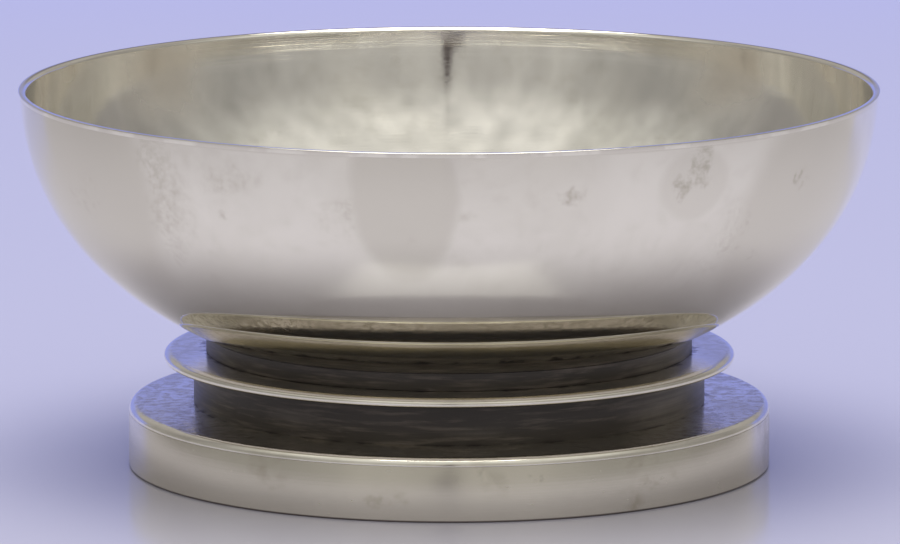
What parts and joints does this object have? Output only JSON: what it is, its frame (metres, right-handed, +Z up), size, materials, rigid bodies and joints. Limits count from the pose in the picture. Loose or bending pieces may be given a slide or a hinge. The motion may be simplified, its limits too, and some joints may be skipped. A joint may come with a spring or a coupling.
{
  "type": "waste bowl",
  "caption": "Round open bowl with a plain wired rim on a low stepped foot of dark wood rings, a thin disc and a drum plinth.",
  "frame": {"origin": "centre of the foot on the surface that the bowl stands on", "axes": "+Z up along the bowl's axis of revolution; +X and +Y are any two directions square to it"},
  "size_m": [0.15, 0.15, 0.0663],
  "materials": {
    "silver": "old polished silver with light tarnish and fine scratches",
    "ebony": "turned and waxed, dark, low gloss",
    "brass": "plain turned brass"
  },
  "bodies": {
    "root": {"bowl_shell": "silver", "rim_wire": "silver", "upper_collar": "ebony", "foot_disc": "silver", "lower_collar": "ebony", "plinth_plate": "silver", "plinth_wall": "silver", "foot_wire": "silver", "clamp_stud": "brass", "clamp_washer": "brass", "clamp_nut": "brass"}
  },
  "joints": []
}
